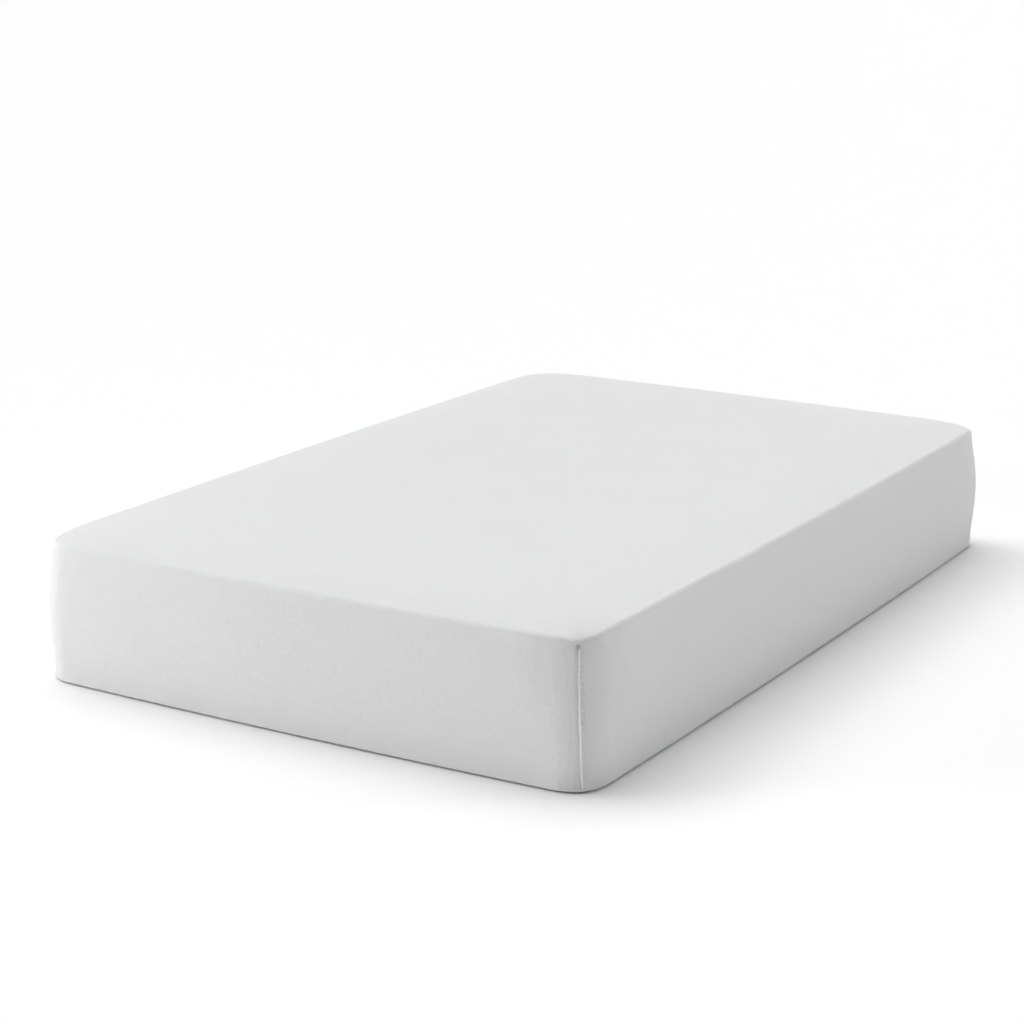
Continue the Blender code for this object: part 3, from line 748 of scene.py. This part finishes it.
def make_zip_teeth(look):
    """The nylon coil's turns, up from the chain's middle and down from it, each set half a pitch on."""
    places, outwards, forwards = zip_path(TOOTH_PITCH, TOOTH_DEPTH, overrun=-0.006)
    profile = [(0.00045, 0.00050), (0.00075, 0.00080), (0.00150, 0.00062), (0.00320, 0.00062)]
    for name, direction in (("upper", 1), ("lower", -1)):
        shape, faces = turned_shape(profile, 6, 1.5, 2)
        # The path runs clockwise, so its third axis points down, and the upper teeth are turned over
        if direction > 0:
            shape = shape * (1, 1, -1)
            faces = [face[::-1] for face in faces]
        shifted = places + forwards * (0.25 * direction * TOOTH_PITCH)
        path = (shifted, outwards, forwards)
        scatter("zip_teeth_" + name, shape, faces, *path, "mattress", look, "zip_coil", ["zip_coil_" + name])


def make_slot_stitching(look):
    """A row of lock stitches along each edge of the zip's slot, which holds the tape."""
    shape, faces = stitch_shape(0.0012, 0.0008, 0.00026)
    for name, rise in (("upper", STITCH_RISE), ("lower", -STITCH_RISE)):
        path = zip_path(STITCH_PITCH, -0.0002, rise, 0.002)
        scatter("slot_stitches_" + name, shape, faces, *path, "mattress", look, "seam_thread")


def block_rows(depth, bottom, top, bottom_edge, top_edge):
    """Rows of places up the side of an inner block, with a quarter round at its bottom and top edges."""
    quarter, along = ring_places(INNER_GRID)
    levels = []
    for turn in np.linspace(0, math.pi / 2, 5):
        levels.append((bottom + bottom_edge * (1 - math.cos(turn)), bottom_edge * (1 - math.sin(turn))))
    for share in np.linspace(0, 1, 8)[1:]:
        levels.append((bottom + bottom_edge + (top - bottom - bottom_edge - top_edge) * share, 0))
    for turn in np.linspace(0, math.pi / 2, 7)[1:]:
        levels.append((top - top_edge * (1 - math.sin(turn)), top_edge * (1 - math.cos(turn))))
    return np.array([skin(quarter, along, z + 0 * along, depth + inset) for z, inset in levels])


def closed_block(name, rows, crowned=False):
    """A closed form from rows of places, with a grid across its top and its underside."""
    places, walls, top = capped_wall(rows, INNER_GRID, crowned)
    under, ring_index = grid_across(rows[0], INNER_GRID)
    index, inner = numbered(ring_index, 0, len(places))
    faces = np.concatenate((walls, top, grid_faces(index, upward=False)))
    return mesh_of(name, np.concatenate((places, under[inner])), faces)


def make_foams(looks):
    """The three foams, one on another: their cut edges are crisp, and only the outer ones are rounded."""
    memory_low, top = (corner.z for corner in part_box("memory_foam_layer"))
    transition_low, transition_top = (corner.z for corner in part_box("transition_foam_layer"))
    support_low, support_top = (corner.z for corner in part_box("support_foam_core"))
    shapes = {
        "memory_foam": ("memory_foam_layer", memory_low, top - TOP_DROP, 0.0015, 0.010),
        "transition_foam": ("transition_foam_layer", transition_low, transition_top, 0.0015, 0.0015),
        "support_foam": ("support_foam_core", support_low, support_top, 0.0045, 0.0015),
    }
    for name, (node, *shape) in shapes.items():
        mesh = closed_block(name, block_rows(FOAM_DEPTH, *shape), crowned=name == "memory_foam")
        foam = add_piece(name, mesh, "mattress", looks[name], [node])


def make_sleeve_part(name, node, mouth_y, direction, look):
    """The sleeve's closed form, cut at its mouth: the part on one side of that, 1 towards +Y or -1."""
    low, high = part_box("fire_sock")
    rows = block_rows(SLEEVE_DEPTH, low.z, high.z - TOP_DROP, SLEEVE_BASE_EDGE, SLEEVE_TOP_EDGE)
    whole = closed_block(name, rows, crowned=True)
    form = bmesh.new()
    form.from_mesh(whole)
    geometry = form.verts[:] + form.edges[:] + form.faces[:]
    bmesh.ops.bisect_plane(form, geom=geometry, dist=1e-7, plane_co=(0, mouth_y, 0), plane_no=(0, 1, 0))
    dropped = [face for face in form.faces if (face.calc_center_median().y - mouth_y) * direction < 0]
    bmesh.ops.delete(form, geom=dropped, context="FACES")
    form.to_mesh(whole)
    form.free()
    piece = add_piece(name, whole, "mattress", look, [node])
    thicken(piece, SLEEVE_THICKNESS)
    return piece


def make_sleeve(look):
    """The knitted sleeve round the foams, and the shallow end that is sewn over its mouth."""
    sleeve = make_sleeve_part("fire_sleeve", "fire_sock", SLEEVE_MOUTH_Y, -1, look)
    end_y = SLEEVE_MOUTH_Y + GAP
    end = make_sleeve_part("fire_sleeve_end", "fire_sock_end_panel", end_y, 1, look)


def make_label(look, thread):
    """A blank satin label, sewn on by its top edge, with its foot curling a little away from the side."""
    low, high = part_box("care_label")
    columns, rows = 12, 18
    down, across = np.meshgrid(np.linspace(0, 1, rows + 1), np.linspace(0, 1, columns + 1), indexing="ij")
    curl = LABEL_CURL * down ** 2.2 * (1 + 0.35 * (2 * across - 1))
    ripple = 0.0004 * np.sin(2 * math.pi * (across * 1.5 + 0.2 * down)) * down
    x = low.x + (high.x - low.x) * across
    z = high.z - (high.z - low.z) * down
    places = np.stack((x, low.y + GAP + curl + ripple, z), axis=-1).reshape(-1, 3)
    faces = grid_faces(np.arange(len(places)).reshape(x.shape), upward=False)
    mesh = mesh_of("label", places, faces)
    label = add_piece("label", mesh, "care_label", look, ["care_label"])
    thicken(label, LABEL_THICKNESS, 0)
    shape, shape_faces = stitch_shape(0.0011, 0.0007, 0.00022)
    count = int((high.x - low.x) / LABEL_STITCH_PITCH)
    xs = low.x + (high.x - low.x) * (np.arange(count) + 0.5) / count
    sewn = np.stack((xs, np.full(count, low.y + 0.0007), np.full(count, high.z - 0.003)), axis=-1)
    outwards = np.tile((0.0, 1.0, 0.0), (count, 1))
    forwards = np.tile((1.0, 0.0, 0.0), (count, 1))
    path = (sewn, outwards, forwards)
    stitches = scatter("label_stitches", shape, shape_faces, *path, "care_label", thread, "seam_thread")


def dress_cad_nodes(look, nodes, bevel):
    """Gives the CAD nodes that stay as they are a finished material, and soft edges if there's a bevel."""
    for node in nodes:
        kept = bpy.data.objects[node]
        kept.data.materials.clear()
        kept.data.materials.append(look)
        if bevel:
            rounding = kept.modifiers.new("worn_edges", "BEVEL")
            rounding.width = bevel
            rounding.segments = 2
            rounding.limit_method = "ANGLE"


# ---- Materials
class Look:
    """A material under construction, with short calls for its nodes."""

    def __init__(self, name, **sockets):
        self.material = bpy.data.materials.new(name)
        self.material.use_nodes = True
        self.nodes = self.material.node_tree.nodes
        self.links = self.material.node_tree.links
        self.shader = self.nodes["Principled BSDF"]
        for socket, value in sockets.items():
            self.shader.inputs[socket.replace("_", " ")].default_value = value

    def node(self, kind, inputs=(), **settings):
        """A new node, with its settings, and values or links for its inputs by number or name."""
        made = self.nodes.new(kind)
        for setting, value in settings.items():
            setattr(made, setting, value)
        for socket, value in dict(inputs).items():
            if isinstance(value, bpy.types.NodeSocket):
                self.links.new(value, made.inputs[socket])
            else:
                made.inputs[socket].default_value = value
        return made

    def math(self, operation, first, second=0.0):
        """One arithmetic step."""
        return self.node("ShaderNodeMath", {0: first, 1: second}, operation=operation).outputs[0]

    def place(self):
        """The object's own coordinates, in metres."""
        return self.node("ShaderNodeTexCoord").outputs["Object"]

    def stretched(self, vector, scale):
        """Coordinates scaled along each axis, which draws a texture out where the scale is below 1."""
        return self.node("ShaderNodeMapping", {"Vector": vector, "Scale": scale}).outputs["Vector"]

    def noise(self, vector, scale, detail=2.0):
        """Smooth noise from 0 to 1."""
        values = {"Vector": vector, "Scale": scale, "Detail": detail}
        return self.node("ShaderNodeTexNoise", values).outputs["Fac"]

    def ramp(self, factor, low, high):
        """A value from low to high as the factor goes from 0 to 1."""
        values = {"Value": factor, "To Min": low, "To Max": high}
        return self.node("ShaderNodeMapRange", values).outputs["Result"]

    def wave(self, value, length):
        """A sine wave that repeats over a length."""
        return self.math("SINE", self.math("MULTIPLY", value, 2 * math.pi / length))

    def tint(self, factor, colour, darkest):
        """A colour that falls to a share of itself where the factor is 0."""
        mix = self.node("ShaderNodeMix", data_type="RGBA")
        self.links.new(factor, mix.inputs["Factor"])
        mix.inputs[6].default_value = (*(darkest * value for value in colour), 1)
        mix.inputs[7].default_value = (*colour, 1)
        return mix.outputs[2]

    def bump(self, height, distance, strength, under=None):
        """Relief from a height of 0 to 1, distance metres deep, laid over an earlier relief."""
        values = {"Height": height, "Distance": distance, "Strength": strength}
        if under is not None:
            values["Normal"] = under
        return self.node("ShaderNodeBump", values).outputs["Normal"]

    def finish(self, colour=None, roughness=None, normal=None):
        """Links what was made to the shader."""
        for socket, value in (("Base Color", colour), ("Roughness", roughness), ("Normal", normal)):
            if value is not None:
                self.links.new(value, self.shader.inputs[socket])
        return self.material


def knit_look(name, colour, wale=0.0016, course=0.0012, depth=0.00025):
    """A fine jersey knit: rows of small Vs, laid in metres, over a soft ground of dimples and fine lines."""
    look = Look(name, Sheen_Weight=0.15, Sheen_Roughness=0.5)
    uv = look.node("ShaderNodeTexCoord").outputs["UV"]
    place = look.place()
    split = look.node("ShaderNodeSeparateXYZ", {0: uv})
    across = look.math("DIVIDE", split.outputs[0], wale)
    leg = look.math("PINGPONG", across, 0.5)
    rise = look.math("ADD", look.math("DIVIDE", split.outputs[1], course), leg)
    loop = look.wave(rise, 1)
    groove = look.math("POWER", look.math("MULTIPLY", leg, 2.0), 4.0)
    height = look.math("SUBTRACT", look.math("MULTIPLY", loop, 0.4), groove)
    dimples = look.noise(place, 150.0, 2.0)
    lines = look.noise(look.stretched(place, (1.0, 1.0, 0.22)), 95.0, 2.0)
    slow = look.noise(place, 9.0, 3.0)
    relief = look.bump(lines, 0.0016, 0.6)
    relief = look.bump(dimples, 0.0016, 0.7, relief)
    relief = look.bump(height, depth, 0.6, relief)
    return look.finish(look.tint(slow, colour, 0.97), look.ramp(dimples, 0.80, 0.95), relief)


def woven_look(name, colour, pitch, depth, roughness=0.8, **sockets):
    """A plain weave: threads that pass over and under each other, laid in metres."""
    look = Look(name, **sockets)
    place = look.place()
    split = look.node("ShaderNodeSeparateXYZ", {0: place})
    threads = [look.wave(split.outputs[axis], 2 * pitch) for axis in range(3)]
    level = look.math("MULTIPLY", threads[0], threads[1])
    upright = look.math("MULTIPLY", look.math("ADD", threads[0], threads[1]), threads[2])
    weave = look.math("ADD", level, upright)
    fuzz = look.noise(place, 400.0, 3.0)
    slow = look.noise(place, 14.0, 2.0)
    relief = look.bump(weave, depth, 0.6, look.bump(fuzz, depth, 0.4))
    dullness = look.ramp(fuzz, roughness - 0.08, roughness + 0.08)
    return look.finish(look.tint(slow, colour, 0.93), dullness, relief)


def ribbed_look(name, colour, rib, depth):
    """A loose ribbed knit: ribs that run round the sleeve, each a row of loops, with a fuzzy face."""
    look = Look(name, Sheen_Weight=0.25, Sheen_Roughness=0.6)
    place = look.place()
    split = look.node("ShaderNodeSeparateXYZ", {0: place})
    ribs = look.wave(split.outputs[1], rib)
    loops = look.wave(look.math("ADD", split.outputs[0], split.outputs[2]), 0.8 * rib)
    height = look.math("ADD", look.math("MULTIPLY", ribs, 0.7), look.math("MULTIPLY", loops, 0.3))
    fuzz = look.noise(place, 700.0, 3.0)
    relief = look.bump(height, depth, 0.8, look.bump(fuzz, depth, 0.5))
    return look.finish(look.tint(look.noise(place, 20.0), colour, 0.90), look.ramp(fuzz, 0.85, 0.98), relief)


def foam_look(name, colour, cell, depth):
    """Cut foam: open cells of mixed sizes, deeper in their middles, with painted shade darkening them there.
    """
    look = Look(name, Sheen_Weight=0.1, Subsurface_Weight=0.06, Subsurface_Scale=0.003)
    place = look.place()
    warped = look.node("ShaderNodeMix", {6: place}, data_type="RGBA")
    warped.inputs["Factor"].default_value = 0.0015
    drift = look.node("ShaderNodeTexNoise", {"Vector": place, "Scale": 60.0})
    look.links.new(drift.outputs["Color"], warped.inputs[7])
    bubbles = look.node("ShaderNodeTexVoronoi", {"Vector": warped.outputs[2], "Scale": 1 / cell})
    cells = bubbles.outputs["Distance"]
    struts = look.noise(place, 2.5 / cell, 2.0)
    height = look.math("ADD", cells, look.math("MULTIPLY", struts, 0.5))
    relief = look.bump(height, depth, 0.8)
    # Painted shade: the colour falls to 0.8 of itself in the cells' pits
    pit_painted_shade = look.tint(look.ramp(cells, 0.0, 1.4), colour, 0.80)
    return look.finish(pit_painted_shade, look.ramp(struts, 0.85, 1.0), relief)


def moulded_look(name, colour, roughness, grain, depth):
    """A moulded plastic or rubber: nearly smooth, with a slight grain and an uneven gloss."""
    look = Look(name)
    place = look.place()
    skin_grain = look.noise(place, grain, 3.0)
    wear = look.noise(place, grain / 12, 3.0)
    relief = look.bump(skin_grain, depth, 0.5)
    dullness = look.ramp(wear, roughness - 0.08, roughness + 0.10)
    return look.finish(look.tint(wear, colour, 0.94), dullness, relief)


def metal_look(name, colour):
    """Plated metal: fine lengthwise scratches, a few dents and duller patches."""
    look = Look(name, Metallic=1.0)
    place = look.place()
    scratches = look.noise(look.stretched(place, (0.06, 1.0, 1.0)), 9000.0, 3.0)
    dents = look.noise(place, 500.0, 2.0)
    dull = look.noise(place, 180.0, 3.0)
    relief = look.bump(scratches, 0.00001, 0.6, look.bump(dents, 0.00005, 0.5))
    return look.finish(look.tint(dull, colour, 0.88), look.ramp(dull, 0.22, 0.42), relief)


# ---- Camera, floor and light
CAMERA_PLACE = (2.3397, -4.2067, 1.4741)
CAMERA_TURN = (-0.5268, 0.2599, -0.0098)  # yaw from +Y, pitch down and roll, in radians
LENS = 84.78  # millimetres, on a sensor 36 wide
FLOOR_REACH = 90

# Suns: azimuth anticlockwise from +X, elevation and width in degrees, with the strength before the width
SUNS = {
    "overhead_back": (120, 68, 1.280, 60),
    "overhead_left": (180, 68, 1.150, 60),
    "high_left": (185, 48, 0.595, 30),
    "low_left": (215, 12, 0.690, 14),
    "low_front": (245, 3, 0.105, 16),
    "low_back": (90, 10, 0.660, 40),
    "low_back_right": (45, 20, 0.573, 20),
    "low_right": (20, 20, 0.149, 20),
}
SOFTBOX_DIRECTION = (240, 8)
SOFTBOX_DISTANCE = 2.2
SOFTBOX_SIZE = 1.4
SOFTBOX_WATTS = 5.5
# The backdrop glows at the horizon, like the far floor, and is dim from a few degrees up
WORLD_GLOW = {"From Min": 0.08, "From Max": 0.22, "To Min": 0.95, "To Max": 0.0}


def make_camera():
    """The photograph's viewpoint: a long lens, above the near corner."""
    camera = add_object("camera", bpy.data.cameras.new("camera"))
    bpy.context.scene.camera = camera
    camera.data.sensor_width = 36.0
    camera.data.lens = LENS
    camera.data.clip_start = 0.1
    camera.data.clip_end = 300.0
    yaw, pitch, roll = CAMERA_TURN
    forward = Vector((math.sin(yaw) * math.cos(pitch), math.cos(yaw) * math.cos(pitch), -math.sin(pitch)))
    level_right = Vector((math.cos(yaw), -math.sin(yaw), 0))
    level_down = forward.cross(level_right)
    right = level_right * math.cos(roll) + level_down * math.sin(roll)
    down = level_down * math.cos(roll) - level_right * math.sin(roll)
    turn = Matrix((right, -down, -forward)).transposed().to_4x4()
    camera.matrix_world = Matrix.Translation(CAMERA_PLACE) @ turn


def make_floor():
    """A plain pale floor that runs out of sight."""
    look = Look("floor_paint", Roughness=0.9, Specular_IOR_Level=0.1)
    look.shader.inputs["Base Color"].default_value = (0.95, 0.95, 0.95, 1)
    mesh = mesh_of("floor", [(x, y, 0) for x, y in CORNER_SIGNS * FLOOR_REACH], [(0, 1, 2, 3)])
    floor = add_object("floor", mesh)
    mesh.materials.append(look.material)


def from_direction(azimuth, elevation):
    """The unit vector towards an azimuth, anticlockwise from +X, and an elevation, in degrees."""
    around, up = math.radians(azimuth), math.radians(elevation)
    return Vector((math.cos(around) * math.cos(up), math.sin(around) * math.cos(up), math.sin(up)))


def add_sun(name, azimuth, elevation, strength, spread):
    """A sun from a direction, spread degrees wide."""
    light = bpy.data.lights.new(name, "SUN")
    light.energy = strength
    light.angle = math.radians(spread)
    sun = add_object(name, light)
    sun.rotation_euler = from_direction(azimuth, elevation).to_track_quat("Z", "Y").to_euler()


def make_light():
    """Soft studio light: broad suns from above, the left and behind, and one softbox at the left."""
    scene = bpy.context.scene
    scene.view_settings.view_transform = "Standard"
    world = bpy.data.worlds.new("studio")
    scene.world = world
    world.use_nodes = True
    nodes, links = world.node_tree.nodes, world.node_tree.links
    direction = nodes.new("ShaderNodeSeparateXYZ")
    links.new(nodes.new("ShaderNodeTexCoord").outputs["Generated"], direction.inputs[0])
    glow = nodes.new("ShaderNodeMapRange")
    for socket, value in WORLD_GLOW.items():
        glow.inputs[socket].default_value = value
    links.new(direction.outputs["Z"], glow.inputs["Value"])
    background = nodes["Background"]
    background.inputs["Color"].default_value = (1, 1, 1, 1)
    links.new(glow.outputs["Result"], background.inputs["Strength"])
    for name, settings in SUNS.items():
        add_sun(name, *settings)
    softbox = add_object("softbox", bpy.data.lights.new("softbox", "AREA"))
    softbox.data.size = SOFTBOX_SIZE
    softbox.data.energy = SOFTBOX_WATTS
    toward = from_direction(*SOFTBOX_DIRECTION)
    softbox.location = toward * SOFTBOX_DISTANCE
    softbox.rotation_euler = toward.to_track_quat("Z", "Y").to_euler()
    softbox.visible_camera = False


make_camera()
make_floor()
make_light()
knit = knit_look("white_knit", (0.78, 0.78, 0.785))
# A lighter copy of the white knit, for the corner seams' ridges and the base welt: a painted highlight along
# them
seam_knit_painted_highlight = knit_look("seam_knit_painted_highlight", (0.84, 0.84, 0.845))
thread = woven_look("white_thread", (0.82, 0.82, 0.81), 0.0004, 0.0001)
base_cloth = woven_look("base_cloth", (0.62, 0.63, 0.64), 0.0014, 0.0004)
rubber = moulded_look("dot_rubber", (0.47, 0.48, 0.50), 0.45, 3000.0, 0.00005)
tape = woven_look("zip_tape", (0.76, 0.76, 0.76), 0.0006, 0.00015)
nylon = moulded_look("zip_nylon", (0.80, 0.80, 0.79), 0.30, 4000.0, 0.00003)
metal = metal_look("zip_nickel", (0.62, 0.61, 0.59))
satin = woven_look("label_satin", (0.84, 0.84, 0.83), 0.00035, 0.00006, 0.4, Sheen_Weight=0.4)
sleeve_knit = ribbed_look("sleeve_knit", (0.80, 0.79, 0.76), 0.0028, 0.0006)
foams = {
    "memory_foam": foam_look("memory_foam", (0.80, 0.80, 0.76), 0.0009, 0.0004),
    "transition_foam": foam_look("transition_foam", (0.58, 0.68, 0.76), 0.0013, 0.0006),
    "support_foam": foam_look("support_foam", (0.52, 0.53, 0.56), 0.0018, 0.0008),
}
make_foams(foams)
make_sleeve(sleeve_knit)
make_cover(knit)
make_corner_seams(seam_knit_painted_highlight)
make_base_welt(seam_knit_painted_highlight)
panel = make_base_panel(base_cloth)
dots = make_anti_slip_dots(rubber)
make_zip_teeth(nylon)
make_slot_stitching(thread)
make_label(satin, thread)
dress_cad_nodes(tape, ("zip_tape_upper", "zip_tape_lower"), 0)
metal_nodes = ("zip_top_stop_upper", "zip_top_stop_lower", "zip_bottom_stop")
metal_nodes += ("zip_slider_body", "zip_slider_crown", "zip_puller")
dress_cad_nodes(metal, metal_nodes, 0.0002)
